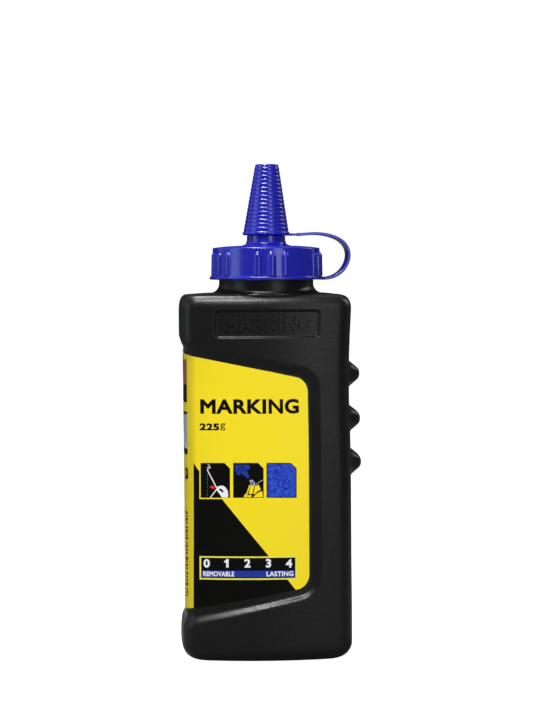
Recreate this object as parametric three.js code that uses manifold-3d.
// Refill bottle for marking-chalk powder: a flat squeeze bottle with a screw cap, a spout,
// a ribbed tip cap over the spout and a strap that ties the tip cap to the screw cap.
// Millimetres, +Z up, origin at the middle of the flat base. The front faces -Y and the
// grip ribs are on the +X side. The label wraps the front, the -X side and the back.
import * as THREE from 'three';
import { mergeVertices } from 'three/addons/utils/BufferGeometryUtils.js';
import Module from 'manifold-3d';

const { clamp, lerp, degToRad } = THREE.MathUtils;
const wasm = await Module();
wasm.setup();

// ---------------------------------------------------------------- driving dimensions
// bottle body
const HALF_WIDTH = 31.6;
const HALF_DEPTH = 21.0;            // at the middle of the crowned faces
const FACE_R = 125;                 // plan radius of the front and back faces
const SIDE_R = 220;                 // plan radius of the two narrow sides
const EDGE_R = 6.5;                 // vertical edge radius
const BASE_R_SIDE = 6.3;            // base rounding at the narrow sides
const BASE_R_FACE = 4.8;            // base rounding at the front and back
const SHOULDER_R = 4.8;             // height of the shoulder rounding
const SHOULDER_IN_FACE = 2.8;       // how far it comes in at the front and back
const SHOULDER_IN_GRIP = 4.8;       // at the +X side
const SHOULDER_IN_LABEL = 3.5;      // at the -X side
const SHOULDER_RIM_Z = 132.62;
const SHOULDER_MIDWAY_Z = 133.0;    // halfway between rim and neck
const SHOULDER_Z = 133.2;           // at the neck
const CAVITY_HALF_WIDTH = 28.5;
const CAVITY_HALF_DEPTH = 18.5;
const CAVITY_TOP_Z = 132.0;         // where the mouth opens into the cavity
const FLOOR = 1.8;                  // thickness of the base

// neck and thread
const NECK_R = 17.5;
const NECK_FOOT_SIDE = 4.0;         // fillet at the neck's foot, towards the narrow sides
const NECK_FOOT_FACE = 0.65;        // and towards the front and back
const NECK_FOOT_RISE = NECK_FOOT_SIDE * 0.97;
const NECK_TOP = 147.0;             // sealing land
const NECK_BEVEL = { width: 0.4, height: 0.5 };
const BORE_R = 15.4;                // mouth of the neck
const THREAD_PITCH = 4.233;         // 6 turns per inch
const THREAD_R = 18.35;             // crest of the neck thread
const THREAD_LOW = 140.9;           // lowest centre height of the neck thread
const THREAD_TURNS = 1;
const THREAD_START = 0.4;           // start angle from +X, radians
const THREAD_TAPER = 1 / 8;         // turns over which each end tapers out
const THREAD_END_HEIGHT = 0.35;     // share of the ridge height left at its ends
const CAP_THREAD_DROP = 1.93;       // cap thread below neck thread

// screw cap with its spout
const CAP_LOW = 138.1;              // underside of the flange
const FLANGE_TOP = 139.3;
const FLANGE_R = 21.0;
const SKIRT_R_LOW = 19.95;
const SKIRT_R_TOP = 19.65;
const CAP_EDGE_Z = 149.6;           // rim of the domed top
const CAP_IN_R = 18.8;              // inside of the skirt
const CAP_CREST_R = 17.95;          // crest of the cap's own thread
const CAP_CEILING = 148.5;          // underside of the cap's top
const COLLAR_R = 7.15;
const COLLAR_Z = 154.2;             // top of the collar
const SPOUT_TOP = 168.0;
const SPOUT_R_LOW = 6.0;
const SPOUT_R_TOP = 2.55;
const ORIFICE_R = 1.6;

// finger ribs on the skirt
const FINGER_IN_R = 19.2;           // inner end, buried in the skirt
const FINGER_OUT_R = 20.75;
const FINGER_W = 2.6;
const FINGER_LOW = FLANGE_TOP - 0.2;
const FINGER_TOP = 148.2;
const FINGER_GROUPS = [57.5, 132.5, 207.5, 272.7, 342.5];  // degrees anticlockwise from -Y
const FINGER_OFFSETS = [-14.7, 0, 14.7];                   // degrees within a group

// tip cap
const TIP_LOW = 154.5;
const TIP_TOP = 180.8;
const TIP_R_LOW = 8.15;
const TIP_R_TOP = 4.35;
const TIP_FLANGE_R = 8.75;
const TIP_FLANGE_TOP = 155.9;
const TIP_STEPS = 16;
const TIP_STEP_PITCH = 1.48;
const TIP_CLEARANCE = 0.5;          // between the spout and the inside of the tip cap
const TIP_TAB_IN_R = 7.6;           // inner end of the strap tab

// strap
const STRAP_TURN = degToRad(10);    // plane of the strap about +Z, from +X
const STRAP_W = 5.0;
const STRAP_T = 1.1;
const STRAP_BEVEL = 0.18;
const STRAP_ROOT = { length: 2.4, gap: 0.65 };   // stub on the screw cap's flange
const HINGE_GAP = 1.0;              // play at the two ends of the strap
const MIDDLE_GAP = 1.6;             // play between the strap's two halves
const STRAP_MIDDLE = 3;             // centreline point where the halves meet
// centreline of the strap in its own plane: distance from the axis, height; the first
// point is the hinge on the screw cap and the last one the hinge on the tip cap
const STRAP = [
  [22.08, 138.48], [26.30, 139.45], [29.15, 141.60], [31.40, 146.80], [30.95, 149.60],
  [29.30, 151.90], [26.30, 153.75], [21.60, 154.95], [16.86, 155.12], [12.50, 154.83],
];

// contents, seal and label
const FILL_TOP = 118;
const FILL_LOW = FLOOR + 0.35;
const FILL_CROWN = 1.2;             // rise of the fill at the axis
const FOIL = { radius: 16.9, low: NECK_TOP + 0.05, top: NECK_TOP + 0.2 };
const LINER = { inR: 13.4, outR: 17.2, low: NECK_TOP + 0.5, top: CAP_CEILING - 0.15 };
const LABEL = { clearance: 0.12, thickness: 0.28, margin: 0.35, rows: 5 };

// segments per turn
const THREAD_SEGMENTS = 32;
const DISC_SEGMENTS = 32;
const CAP_SEGMENTS = 40;
const TIP_SEGMENTS = 28;

// ---------------------------------------------------------------- materials
const CAP_BLUE = 0x2228af;
const FINISHES = {
  bottle: { color: 0x141414, roughness: 0.55 },
  label: { color: 0xeed728, roughness: 0.4 },
  powder: { color: 0x2438b0, roughness: 0.95 },
  foil: { color: 0xc8cacc, roughness: 0.35, metalness: 0.9 },
  liner: { color: 0xe8e8e4, roughness: 0.9 },
  cap: { color: CAP_BLUE, roughness: 0.22 },
  strap: { color: CAP_BLUE, roughness: 0.3 },
};

// ---------------------------------------------------------------- helpers
const quad = (a, b, c, d) => [a, b, c, a, c, d];

function indexedGeometry(positions, indices) {
  const geometry = new THREE.BufferGeometry();
  geometry.setAttribute('position', new THREE.Float32BufferAttribute(positions, 3));
  geometry.setIndex(indices);
  return geometry;
}

// closed surface through rings of equal point count, with a fan on each end ring
function loft(rings, firstCentre, lastCentre) {
  const count = rings[0].length;
  const indices = [];
  for (let k = 0; k + 1 < rings.length; k++) {
    for (let j = 0; j < count; j++) {
      const a = k * count + j;
      const b = k * count + (j + 1) % count;
      indices.push(...quad(a, b, b + count, a + count));
    }
  }
  const first = rings.length * count;
  const last = first + 1;
  const lastRing = first - count;
  for (let j = 0; j < count; j++) {
    const next = (j + 1) % count;
    indices.push(first, next, j, last, lastRing + j, lastRing + next);
  }
  return indexedGeometry([...rings.flat(), firstCentre, lastCentre].flat(), indices);
}

function solid(geometry) {
  geometry.deleteAttribute('normal');
  geometry.deleteAttribute('uv');
  const merged = mergeVertices(geometry, 1e-4);
  return new wasm.Manifold(new wasm.Mesh({
    numProp: 3,
    vertProperties: new Float32Array(merged.attributes.position.array),
    triVerts: new Uint32Array(merged.index.array),
  }));
}

function geometryOf(manifold) {
  const { vertProperties, triVerts } = manifold.getMesh();
  return indexedGeometry(vertProperties, Array.from(triVerts));
}

// solid of revolution about +Z from a list of [radius, height]
function lathe(profile, segments) {
  const points = profile.map(([r, z]) => new THREE.Vector2(r, z));
  return new THREE.LatheGeometry(points, segments).rotateX(Math.PI / 2);
}

function mesh(name, geometry, finish) {
  geometry.deleteAttribute('uv');
  geometry.computeVertexNormals();
  const piece = new THREE.Mesh(geometry, new THREE.MeshStandardMaterial(finish));
  piece.name = name;
  return piece;
}

// box lying along the strap's plane, from one distance from the axis to another
function strapBlock(fromR, toR, z, thickness) {
  const block = new THREE.BoxGeometry(toR - fromR, STRAP_W, thickness);
  block.translate((fromR + toR) / 2, 0, z);
  return block.rotateZ(STRAP_TURN);
}

// right-hand helical ridge: it climbs anticlockwise, its root is buried, its ends taper out
function helix({ rootR, crestR, low, rootWidth, crestWidth }) {
  const rings = [];
  const steps = Math.round(THREAD_SEGMENTS * THREAD_TURNS);
  for (let i = 0; i <= steps; i++) {
    const share = i / steps;
    const angle = THREAD_START + share * THREAD_TURNS * 2 * Math.PI;
    const fade = clamp(Math.min(share, 1 - share) * THREAD_TURNS / THREAD_TAPER, 0, 1);
    const topR = lerp(rootR, crestR, lerp(THREAD_END_HEIGHT, 1, fade));
    const z = low + share * THREAD_TURNS * THREAD_PITCH;
    const at = (r, dz) => [r * Math.cos(angle), r * Math.sin(angle), z + dz];
    const section = [
      at(rootR, -rootWidth / 2), at(topR, -crestWidth / 2),
      at(topR, crestWidth / 2), at(rootR, rootWidth / 2),
    ];
    // an outward ridge needs the opposite winding
    rings.push(crestR > rootR ? section.reverse() : section);
  }
  const middle = ([a, b, c, d]) => [0, 1, 2].map((k) => (a[k] + b[k] + c[k] + d[k]) / 4);
  return loft(rings, middle(rings[0]), middle(rings[steps]));
}

// ---------------------------------------------------------------- plan section of the body
// arcs for face, edge and side that run into each other; the named points below belong to
// the front right quarter (x > 0, y < 0) and are mirrored into the others
const FACE_CENTRE_Y = FACE_R - HALF_DEPTH;    // centre of the front face arc, on x = 0
const SIDE_CENTRE_X = HALF_WIDTH - SIDE_R;    // centre of the right side arc, on y = 0

// where circles about the face and side centres, each smaller by EDGE_R, cross
function edgeCentre() {
  const faceReach = FACE_R - EDGE_R;
  const sideReach = SIDE_R - EDGE_R;
  const dx = SIDE_CENTRE_X;
  const dy = -FACE_CENTRE_Y;
  const distance = Math.hypot(dx, dy);
  const along = (faceReach ** 2 - sideReach ** 2 + distance ** 2) / (2 * distance);
  const across = Math.sqrt(faceReach ** 2 - along ** 2);
  return [
    (dx * along - dy * across) / distance,
    FACE_CENTRE_Y + (dy * along + dx * across) / distance,
  ];
}

// point on a circle in the direction of another point
function arcPoint([centreX, centreY], radius, [x, y]) {
  const scale = radius / Math.hypot(x - centreX, y - centreY);
  return [centreX + (x - centreX) * scale, centreY + (y - centreY) * scale];
}

const EDGE_CENTRE = edgeCentre();
const FACE_END = arcPoint([0, FACE_CENTRE_Y], FACE_R, EDGE_CENTRE);
const SIDE_END = arcPoint([SIDE_CENTRE_X, 0], SIDE_R, EDGE_CENTRE);
const frontY = (x) => FACE_CENTRE_Y - Math.sqrt(FACE_R ** 2 - x ** 2);
const rightX = (y) => SIDE_CENTRE_X + Math.sqrt(SIDE_R ** 2 - y ** 2);

// where the label recess ends towards +X: its floor, and its outer edge
const RECESS_FLOOR_X = 15.3;
const RECESS_OUTER_X = 20.1;

// stations of the columns: x on the front and back faces, y on the +X side
const FACE_X = [
  -19.5, -12, -4.5, 3, 10.8, 13.4, 14.8, RECESS_FLOOR_X, 17.8, 19.4, RECESS_OUTER_X, 23.2,
];
const SIDE_Y = [-10.5, -6, 0, 6, 10.5];
const EDGE_STEPS = 4;

// vertical edge in the quarter given by the signs, anticlockwise seen from above
function edgeArc(signX, signY) {
  const place = ([x, y]) => [x * signX, y * signY];
  const [centreX, centreY] = place(EDGE_CENTRE);
  const ends = [FACE_END, SIDE_END].map(place);
  if (signX * signY < 0) ends.reverse();
  const [from, to] = ends.map(([x, y]) => Math.atan2(y - centreY, x - centreX));
  const points = [];
  for (let i = 0; i <= EDGE_STEPS; i++) {
    const angle = lerp(from, to, i / EDGE_STEPS);
    points.push([centreX + EDGE_R * Math.cos(angle), centreY + EDGE_R * Math.sin(angle)]);
  }
  return points;
}

function outwardNormal(x, y) {
  const tolerance = 1e-6;
  const signX = Math.sign(x);
  const signY = Math.sign(y);
  let normal;
  if (Math.abs(x) <= FACE_END[0] + tolerance) {
    normal = [x, y + signY * FACE_CENTRE_Y];
  } else if (Math.abs(y) <= Math.abs(SIDE_END[1]) + tolerance) {
    normal = [x - signX * SIDE_CENTRE_X, y];
  } else {
    normal = [x - signX * EDGE_CENTRE[0], y + signY * EDGE_CENTRE[1]];
  }
  const length = Math.hypot(...normal);
  return normal.map((v) => v / length);
}

// columns round the body, anticlockwise seen from above, from the left end of the front
const columns = [
  ...FACE_X.map((x) => [x, frontY(x)]),
  ...edgeArc(1, 1),
  ...SIDE_Y.map((y) => [rightX(y), y]),
  ...edgeArc(1, -1),
  ...[...FACE_X].reverse().map((x) => [x, -frontY(x)]),
  ...edgeArc(-1, -1),
  [-rightX(0), 0],
  ...edgeArc(-1, 1),
].map(([x, y]) => {
  const [nx, ny] = outwardNormal(x, y);
  return { x, y, nx, ny };
});

// ---------------------------------------------------------------- label recess
const RECESS_DEPTH = 1.5;
const RECESS_BEND_X = -24;          // beyond it the recess edges turn round the -X side
const RECESS_BEND_LENGTH = 7.6;
const MIN_SLOPE_HEIGHT = 0.5;       // least height of the sloping border
const MIN_ROW_GAP = 0.6;            // least distance between the border's two rows

// Height of a recess edge as a function of x: a straight line through (levelX, level),
// with an extra swing round the -X side and a rounded corner at endX.
function recessEdge({ level, levelX, slope, swing, endX, cornerR, cornerSign }) {
  return (x) => {
    const turn = clamp((RECESS_BEND_X - x) / RECESS_BEND_LENGTH, 0, 1) ** 1.4;
    const along = clamp(x - (endX - cornerR), 0, cornerR);
    const corner = cornerR - Math.sqrt(cornerR ** 2 - along ** 2);
    const line = level + slope * (Math.max(x, RECESS_BEND_X) - levelX);
    return line + swing * turn + cornerSign * corner;
  };
}
const floorCorner = { endX: RECESS_FLOOR_X, cornerR: 4.5 };
const outerCorner = { endX: RECESS_OUTER_X, cornerR: 7 };
const topInner = recessEdge({
  level: 105.5, levelX: -0.6, slope: -0.203, swing: 2.2, ...floorCorner, cornerSign: -1,
});
const topOuter = recessEdge({
  level: 110.0, levelX: -0.6, slope: -0.205, swing: 3.4, ...outerCorner, cornerSign: -1,
});
const bottomInner = recessEdge({
  level: 24.4, levelX: 0, slope: 0.197, swing: -2.8, ...floorCorner, cornerSign: 1,
});
const bottomOuter = recessEdge({
  level: 20.2, levelX: 0, slope: 0.222, swing: -3.2, ...outerCorner, cornerSign: 1,
});

function recessAt(x, z) {
  const border = (from, height) => clamp(from / Math.max(MIN_SLOPE_HEIGHT, height), 0, 1);
  const right = clamp((RECESS_OUTER_X - x) / (RECESS_OUTER_X - RECESS_FLOOR_X), 0, 1);
  const top = border(topOuter(x) - z, topOuter(x) - topInner(x));
  const bottom = border(z - bottomOuter(x), bottomInner(x) - bottomOuter(x));
  return RECESS_DEPTH * Math.min(right, top, bottom);
}

// ---------------------------------------------------------------- side outlines
// height, offset of the narrow side from HALF_WIDTH
const OUTLINE_LABEL = [
  [0, 0.2], [30, 0.2], [64, 0.3], [95, 0.6], [110, 0.75], [127, 0.85], [133, 0.85],
];
const OUTLINE_GRIP = [
  [0, -0.76], [20, -0.76], [34, -0.88], [64, -0.98], [80, -1.2], [95, -1.68],
  [110, -1.63], [118, -1.3], [123, -1.05], [128, -0.78], [133, -0.72],
];

// factor on x that brings the narrow side to its outline at a height
function widthScale(x, z) {
  const table = x < 0 ? OUTLINE_LABEL : OUTLINE_GRIP;
  const next = table.findIndex(([height], i) => i > 0 && z <= height);
  const [lowZ, low] = table[next - 1];
  const [highZ, high] = table[next];
  return 1 + lerp(low, high, (z - lowZ) / (highZ - lowZ)) / HALF_WIDTH;
}

// ---------------------------------------------------------------- grip ribs
const GRIP_Z = [71.1, 87.1, 103.5];
const GRIP_HEIGHT = 4.0;
const GRIP_HALF = 4.8;              // half of a rib's extent in z
const GRIP_CREST = 0.45;            // share of GRIP_HALF under the curved crest
const GRIP_CREST_END = 0.7525;      // share of the height where crest meets flank
const GRIP_FULL_Y = 6;              // full height up to this |y|
const GRIP_REACH = 12.5;            // ribs run out at this |y|

function gripAt(x, y, z) {
  if (x < 0) return 0;
  const centre = GRIP_Z.find((c) => Math.abs(z - c) < GRIP_HALF);
  if (centre === undefined) return 0;
  const side = clamp(1 - (Math.abs(y) - GRIP_FULL_Y) / (GRIP_REACH - GRIP_FULL_Y), 0, 1);
  const t = Math.abs(z - centre) / GRIP_HALF;
  const profile = t < GRIP_CREST
    ? 1 - (1 - GRIP_CREST_END) * (t / GRIP_CREST) ** 2
    : (1 - t) / (1 - GRIP_CREST) * GRIP_CREST_END;
  return GRIP_HEIGHT * Math.sqrt(side) * profile;
}

// ---------------------------------------------------------------- bottle
// row heights on columns outside the recess
const PLAIN_ROWS = { bottomOuter: 16, bottomInner: 24, topInner: 112, topOuter: 117 };
const LAST_ROW_Z = 122.5;
const GRIP_ROWS = GRIP_Z.flatMap((c) =>
  [-1, -GRIP_CREST, 0, GRIP_CREST, 1].map((share) => c + share * GRIP_HALF));
const QUARTER = [0, 30, 60, 90].map(degToRad);

// insets of the cavity in x and y, height, from top to floor
const CAVITY_ROWS = [
  [4, 3.4, 130.6], [1, 0.8, 129.2], [0, 0, 126.5],
  [0, 0, 7.5], [1.6, 1.0, 3.6], [5, 3.4, FLOOR],
];

// heights of a column's rows; inside the recess they follow its edges
function rowHeights({ x }) {
  const plain = PLAIN_ROWS;
  if (x >= RECESS_OUTER_X) {
    return [
      plain.bottomOuter, plain.bottomInner, ...GRIP_ROWS,
      plain.topInner, plain.topOuter, LAST_ROW_Z,
    ];
  }
  const floorX = Math.min(x, RECESS_FLOOR_X);
  const outerLow = bottomOuter(x);
  const outerHigh = topOuter(x);
  const low = Math.max(bottomInner(floorX), outerLow + MIN_ROW_GAP);
  const high = Math.min(topInner(floorX), outerHigh - MIN_ROW_GAP);
  const middle = GRIP_ROWS.map((z) =>
    lerp(low, high, (z - plain.bottomInner) / (plain.topInner - plain.bottomInner)));
  return [outerLow, low, ...middle, high, outerHigh, LAST_ROW_Z];
}

function bodyPoint({ x, y, nx, ny }, z) {
  const offset = gripAt(x, y, z) - recessAt(x, z);
  return [x * widthScale(x, z) + nx * offset, y + ny * offset, z];
}

const baseRing = (angle) => columns.map(({ x, y, nx }) => {
  const inward = 1 - Math.sin(angle);
  return [
    x * widthScale(x, 0) * (1 - BASE_R_SIDE * inward / HALF_WIDTH),
    y * (1 - BASE_R_FACE * inward / HALF_DEPTH),
    lerp(BASE_R_FACE, BASE_R_SIDE, nx * nx) * (1 - Math.cos(angle)),
  ];
});

const shoulderRing = (angle) => columns.map((column) => {
  const inward = 1 - Math.cos(angle);
  const [x, y, z] = bodyPoint(column, SHOULDER_RIM_Z - SHOULDER_R);
  const sideIn = x > 0 ? SHOULDER_IN_GRIP : SHOULDER_IN_LABEL;
  return [
    x * (1 - sideIn * inward / HALF_WIDTH),
    y * (1 - SHOULDER_IN_FACE * inward / HALF_DEPTH),
    z + SHOULDER_R * Math.sin(angle),
  ];
});

// neck rings spread the columns evenly; this fractional column number faces -Y
const FRONT_COLUMN = FACE_X.indexOf(3) - 0.6;
const neckAngle = (j) => -Math.PI / 2 + (j - FRONT_COLUMN) * 2 * Math.PI / columns.length;
const neckRing = (radius, z) => columns.map((_, j) =>
  [radius * Math.cos(neckAngle(j)), radius * Math.sin(neckAngle(j)), z]);

// the neck's foot is wide towards the narrow sides and tight at the front and back
const footRing = (angle) => columns.map((_, j) => {
  const around = neckAngle(j);
  const sideways = Math.cos(around) ** 2;
  const width = lerp(NECK_FOOT_FACE, NECK_FOOT_SIDE, sideways);
  const radius = NECK_R + width * (1 - Math.sin(angle));
  const rise = NECK_FOOT_RISE * (1 - Math.cos(angle)) * lerp(0.35, 1, sideways);
  return [radius * Math.cos(around), radius * Math.sin(around), SHOULDER_Z + rise];
});

// body outline scaled to the cavity, less an inset
const cavityRing = ([insetX, insetY, z], ringColumns = columns) => ringColumns.map(({ x, y }) => [
  x * (CAVITY_HALF_WIDTH - insetX) / HALF_WIDTH,
  y * (CAVITY_HALF_DEPTH - insetY) / HALF_DEPTH,
  z,
]);

// one surface: up the outside, over the neck and down the inside
function bottleBody() {
  const heights = columns.map(rowHeights);
  const shoulder = QUARTER.map(shoulderRing);
  const foot = QUARTER.map(footRing);
  const midway = shoulder.at(-1).map(([x, y], j) =>
    [lerp(x, foot[0][j][0], 0.5), lerp(y, foot[0][j][1], 0.5), SHOULDER_MIDWAY_Z]);
  const rings = [
    ...QUARTER.map(baseRing),
    ...heights[0].map((_, k) => columns.map((column, j) => bodyPoint(column, heights[j][k]))),
    ...shoulder,
    midway,
    ...foot,
    neckRing(NECK_R, NECK_TOP - NECK_BEVEL.height),
    neckRing(NECK_R - NECK_BEVEL.width, NECK_TOP),
    neckRing(BORE_R, NECK_TOP),
    neckRing(BORE_R, CAVITY_TOP_Z),
    ...CAVITY_ROWS.map((row) => cavityRing(row)),
  ];
  return loft(rings, [0, 0, 0], [0, 0, FLOOR]);
}

function makeBottle() {
  const thread = helix({
    rootR: NECK_R - 0.5, crestR: THREAD_R, low: THREAD_LOW, rootWidth: 2.0, crestWidth: 0.9,
  });
  return mesh('bottle', geometryOf(solid(bottleBody()).add(solid(thread))), FINISHES.bottle);
}

// ---------------------------------------------------------------- label
// sheet that lies in the recess on the back, the -X side and the front
function makeLabel() {
  const { clearance, thickness, margin, rows } = LABEL;
  const atFloorEnd = ({ x }) => x === RECESS_FLOOR_X;
  const backStart = columns.findIndex((column) => column.y > 0 && atFloorEnd(column));
  const covered = [
    ...columns.slice(backStart),
    ...columns.slice(0, FACE_X.indexOf(RECESS_FLOOR_X) + 1),
  ];
  const positions = [];
  for (const lift of [clearance, clearance + thickness]) {
    const offset = lift - RECESS_DEPTH;
    for (const column of covered) {
      const { x, y, nx, ny } = column;
      const endMargin = atFloorEnd(column) ? margin : 0;
      for (let k = 0; k <= rows; k++) {
        const z = lerp(bottomInner(x) + margin, topInner(x) - margin, k / rows);
        positions.push(x * widthScale(x, z) + nx * offset - endMargin, y + ny * offset, z);
      }
    }
  }

  // layer 0 faces the bottle, layer 1 faces out
  const id = (layer, c, k) => (layer * covered.length + c) * (rows + 1) + k;
  const last = covered.length - 1;
  const indices = [];
  for (let c = 0; c < last; c++) {
    for (let k = 0; k < rows; k++) {
      indices.push(...quad(id(1, c, k), id(1, c + 1, k), id(1, c + 1, k + 1), id(1, c, k + 1)));
      indices.push(...quad(id(0, c, k), id(0, c, k + 1), id(0, c + 1, k + 1), id(0, c + 1, k)));
    }
    indices.push(...quad(id(0, c, 0), id(0, c + 1, 0), id(1, c + 1, 0), id(1, c, 0)));
    indices.push(
      ...quad(id(0, c, rows), id(1, c, rows), id(1, c + 1, rows), id(0, c + 1, rows)));
  }
  for (let k = 0; k < rows; k++) {
    indices.push(...quad(id(0, 0, k), id(1, 0, k), id(1, 0, k + 1), id(0, 0, k + 1)));
    indices.push(
      ...quad(id(0, last, k), id(0, last, k + 1), id(1, last, k + 1), id(1, last, k)));
  }
  return mesh('label', indexedGeometry(positions, indices), FINISHES.label);
}

// ---------------------------------------------------------------- powder fill
// insets from the cavity in x and y, height
const POWDER_ROWS = [
  [5.8, 4.2, FILL_LOW], [2.3, 1.7, 4.3], [0.7, 0.7, 8.0],
  [0.7, 0.7, FILL_TOP - 2], [6, 5, FILL_TOP],
];

function makePowder() {
  const everyOther = columns.filter((_, j) => j % 2 === 0);
  const rings = POWDER_ROWS.map((row) => cavityRing(row, everyOther));
  const body = loft(rings, [0, 0, FILL_LOW], [0, 0, FILL_TOP + FILL_CROWN]);
  return mesh('chalk_powder', body, FINISHES.powder);
}

// ---------------------------------------------------------------- foil seal and foam liner
function makeFoil() {
  const { radius, low, top } = FOIL;
  const profile = [[0, low], [radius, low], [radius, top], [0, top]];
  return mesh('foil_seal', lathe(profile, DISC_SEGMENTS), FINISHES.foil);
}

function makeLiner() {
  const { inR, outR, low, top } = LINER;
  const profile = [[inR, low], [outR, low], [outR, top], [inR, top], [inR, low]];
  return mesh('foam_liner', lathe(profile, DISC_SEGMENTS), FINISHES.liner);
}

// ---------------------------------------------------------------- screw cap with its spout
// radius, height
const CAP_PROFILE = [
  // flange
  [CAP_IN_R, CAP_LOW],
  [FLANGE_R - 0.25, CAP_LOW],
  [FLANGE_R, CAP_LOW + 0.3],
  [FLANGE_R, FLANGE_TOP - 0.3],
  [FLANGE_R - 0.3, FLANGE_TOP],
  // skirt and domed top
  [SKIRT_R_LOW, FLANGE_TOP + 0.1],
  [SKIRT_R_TOP + 0.1, CAP_EDGE_Z - 0.8],
  [SKIRT_R_TOP - 0.7, CAP_EDGE_Z],
  [14, 150.55],
  // collar
  [COLLAR_R + 1.3, 150.95],
  [COLLAR_R + 0.4, 151.35],
  [COLLAR_R, 152.0],
  [COLLAR_R, COLLAR_Z - 0.3],
  [COLLAR_R - 0.4, COLLAR_Z],
  // spout
  [SPOUT_R_LOW, COLLAR_Z],
  [SPOUT_R_TOP + 0.1, SPOUT_TOP - 0.5],
  [SPOUT_R_TOP - 0.35, SPOUT_TOP],
  // inside, downwards
  [ORIFICE_R, SPOUT_TOP],
  [ORIFICE_R, SPOUT_TOP - 2.5],
  [SPOUT_R_LOW - 1.3, COLLAR_Z - 1],
  [COLLAR_R - 1.4, CAP_CEILING],
  [CAP_IN_R - 0.5, CAP_CEILING],
  [CAP_IN_R, CAP_CEILING - 0.6],
  [CAP_IN_R, CAP_LOW],
];

// upright rib with a pointed top, on the -Y side of the skirt
function fingerRib() {
  const height = FINGER_TOP - FINGER_LOW;
  const half = FINGER_W / 2;
  const outline = [
    [-half, 0], [half, 0], [half, height - 1.9], [half * 0.62, height - 0.6], [0, height],
    [-half * 0.62, height - 0.6], [-half, height - 1.9],
  ];
  const shape = new THREE.Shape(outline.map(([x, y]) => new THREE.Vector2(x, y)));
  shape.closePath();
  const rib = new THREE.ExtrudeGeometry(shape, {
    depth: FINGER_OUT_R - FINGER_IN_R, bevelEnabled: false,
  });
  rib.rotateX(Math.PI / 2);           // outline now in XZ, depth towards -Y
  return rib.translate(0, -FINGER_IN_R, FINGER_LOW);
}

function makeScrewCap() {
  let cap = solid(lathe(CAP_PROFILE, CAP_SEGMENTS));
  for (const group of FINGER_GROUPS) {
    for (const offset of FINGER_OFFSETS) {
      cap = cap.add(solid(fingerRib().rotateZ(degToRad(group + offset))));
    }
  }
  // the cap's own thread runs just under the neck's thread
  cap = cap.add(solid(helix({
    rootR: CAP_IN_R + 0.35, crestR: CAP_CREST_R, low: THREAD_LOW - CAP_THREAD_DROP,
    rootWidth: 1.7, crestWidth: 0.8,
  })));
  const [hingeR, hingeZ] = STRAP[0];
  const rootEnd = hingeR - STRAP_ROOT.gap;
  const root = strapBlock(rootEnd - STRAP_ROOT.length, rootEnd, hingeZ, STRAP_T);
  return mesh('screw_cap', geometryOf(cap.add(solid(root))), FINISHES.cap);
}

// ---------------------------------------------------------------- tether strap
const strapCurve = new THREE.CatmullRomCurve3(
  STRAP.map(([r, z]) => new THREE.Vector3(r, 0, z)), false, 'centripetal');

// band along the centreline between two of its points, cut back at its ends
function makeStrap(name, { first, last, cutFirst, cutLast, steps }) {
  const samples = 240;
  const tangentReach = 0.2;
  const line = [];
  const run = [0];                    // length along the line up to each sample
  for (let i = 0; i <= samples; i++) {
    line.push(strapCurve.getPoint(lerp(first, last, i / samples) / (STRAP.length - 1)));
    if (i > 0) run.push(run[i - 1] + line[i].distanceTo(line[i - 1]));
  }
  const pointAt = (length) => {
    let k = 1;
    while (k < samples && run[k] < length) k++;
    const share = (length - run[k - 1]) / (run[k] - run[k - 1]);
    return line[k - 1].clone().lerp(line[k], share);
  };

  const halfW = STRAP_W / 2;
  const halfT = STRAP_T / 2;
  const sideT = halfT - STRAP_BEVEL;
  const flatW = halfW - STRAP_BEVEL;
  // across the band, out from its centreline
  const section = [
    [halfW, -sideT], [halfW, sideT], [flatW, halfT], [-flatW, halfT],
    [-halfW, sideT], [-halfW, -sideT], [-flatW, -halfT], [flatW, -halfT],
  ];
  const end = run[samples] - cutLast;
  const rings = [];
  for (let i = 0; i <= steps; i++) {
    const length = lerp(cutFirst, end, i / steps);
    const point = pointAt(length);
    const tangent = pointAt(Math.min(length + tangentReach, end))
      .sub(pointAt(Math.max(length - tangentReach, cutFirst)))
      .normalize();
    rings.push(section.map(([across, out]) =>
      [point.x - tangent.z * out, across, point.z + tangent.x * out]));
  }
  const middle = (ring) => [0, 1, 2].map((k) => (ring[0][k] + ring[4][k]) / 2);
  const band = loft(rings, middle(rings[0]), middle(rings[steps])).rotateZ(STRAP_TURN);
  return mesh(name, band, FINISHES.strap);
}

// ---------------------------------------------------------------- tip cap
// inside radius: follows the spout with clearance
function tipInside(z) {
  const share = (z - COLLAR_Z) / (SPOUT_TOP - COLLAR_Z);
  return lerp(SPOUT_R_LOW, SPOUT_R_TOP, share) + TIP_CLEARANCE;
}

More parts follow.
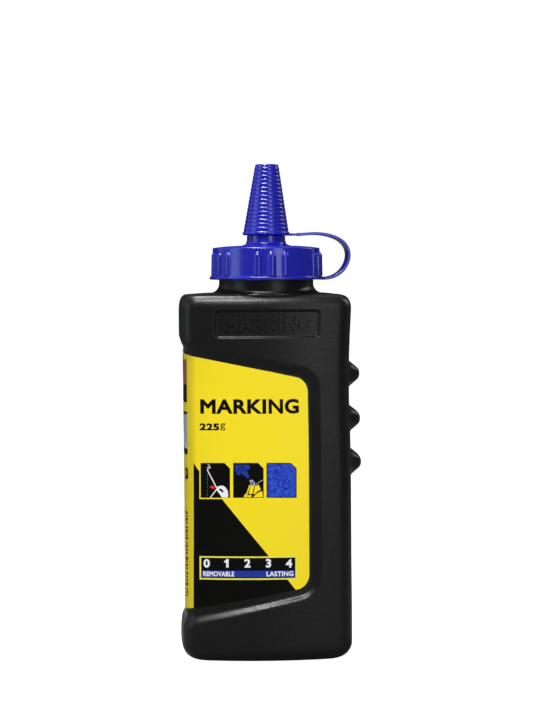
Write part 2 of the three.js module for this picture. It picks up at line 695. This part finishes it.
// radius, height
function tipProfile() {
  const mouth = [tipInside(TIP_LOW) + 0.1, TIP_LOW];
  const steps = [];
  for (let i = 0; i < TIP_STEPS; i++) {
    const r = lerp(TIP_R_LOW, TIP_R_TOP + 0.24, i / (TIP_STEPS - 1));
    const z = TIP_FLANGE_TOP + 0.02 + i * TIP_STEP_PITCH;
    steps.push([r, z + 0.02], [r - 0.12, z + TIP_STEP_PITCH - 0.12]);
  }
  return [
    mouth,
    [TIP_FLANGE_R - 0.3, TIP_LOW],
    [TIP_FLANGE_R, TIP_LOW + 0.35],
    [TIP_FLANGE_R, TIP_FLANGE_TOP - 0.35],
    [TIP_FLANGE_R - 0.35, TIP_FLANGE_TOP],
    ...steps,
    [TIP_R_TOP, TIP_TOP - 0.5],
    [TIP_R_TOP - 0.4, TIP_TOP],
    [0, TIP_TOP],
    // sealing finger that drops into the orifice
    [0, SPOUT_TOP - 1.7],
    [0.75, SPOUT_TOP - 1.7],
    [1.15, SPOUT_TOP - 1.0],
    [1.15, TIP_TOP - 1.3],
    // inside wall, downwards
    [2.6, TIP_TOP - 1.3],
    [tipInside(SPOUT_TOP) + 0.15, SPOUT_TOP + 1.2],
    mouth,
  ];
}

function makeTipCap() {
  const [hingeR, hingeZ] = STRAP.at(-1);
  const tab = strapBlock(TIP_TAB_IN_R, hingeR - HINGE_GAP / 2, hingeZ + 0.25, STRAP_T * 0.8);
  const tip = solid(lathe(tipProfile(), TIP_SEGMENTS)).add(solid(tab));
  return mesh('tip_cap', geometryOf(tip), FINISHES.cap);
}

// ---------------------------------------------------------------- assembly
const refillBottle = new THREE.Group();
refillBottle.add(
  makeBottle(),
  makeLabel(),
  makePowder(),
  makeFoil(),
  makeLiner(),
  makeScrewCap(),
  makeTipCap(),
  makeStrap('tether_lower', {
    first: 0, last: STRAP_MIDDLE,
    cutFirst: HINGE_GAP / 2, cutLast: MIDDLE_GAP / 2, steps: 10,
  }),
  makeStrap('tether_upper', {
    first: STRAP_MIDDLE, last: STRAP.length - 1,
    cutFirst: MIDDLE_GAP / 2, cutLast: HINGE_GAP / 2, steps: 16,
  }),
);
export default refillBottle;
